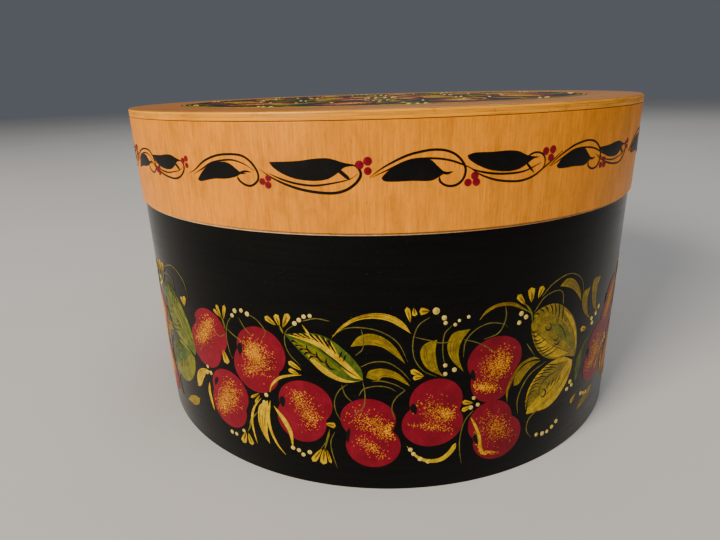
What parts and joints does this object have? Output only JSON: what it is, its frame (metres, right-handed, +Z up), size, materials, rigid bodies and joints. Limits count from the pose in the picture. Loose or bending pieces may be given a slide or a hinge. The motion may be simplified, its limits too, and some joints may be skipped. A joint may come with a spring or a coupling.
{
  "type": "round lidded box",
  "caption": "Round bent-wood box with a straight black-lacquered body, an inner collar and a flat lift-off wooden lid, painted with apples, leaves and berries.",
  "frame": {"origin": "middle of the flat underside that the box stands on", "axes": "+Z up along the axis of the round box; -Y towards the viewer, +X to the viewer's right"},
  "size_m": [0.24, 0.24, 0.142],
  "materials": {
    "black_lacquer": "black lacquer over wood, brushed, under a glossy clear varnish",
    "bottom_plywood": "sanded plywood, matt",
    "bare_wood": "sanded light wood, satin",
    "honey_wood": "fine vertical grain, honey-coloured semi-gloss varnish",
    "lid_plywood": "plywood disc, honey-coloured semi-gloss varnish"
  },
  "bodies": {
    "box": {"body_hoop": "black_lacquer", "bottom_board": "bottom_plywood", "collar_hoop": "bare_wood"},
    "lid": {"lid_hoop": "honey_wood", "lid_board": "lid_plywood"}
  },
  "joints": [
    {"name": "lid_lift", "type": "slide", "parent": "box", "child": "lid", "axis": [0, 0, 1], "range_m": [0, 0.15]}
  ]
}
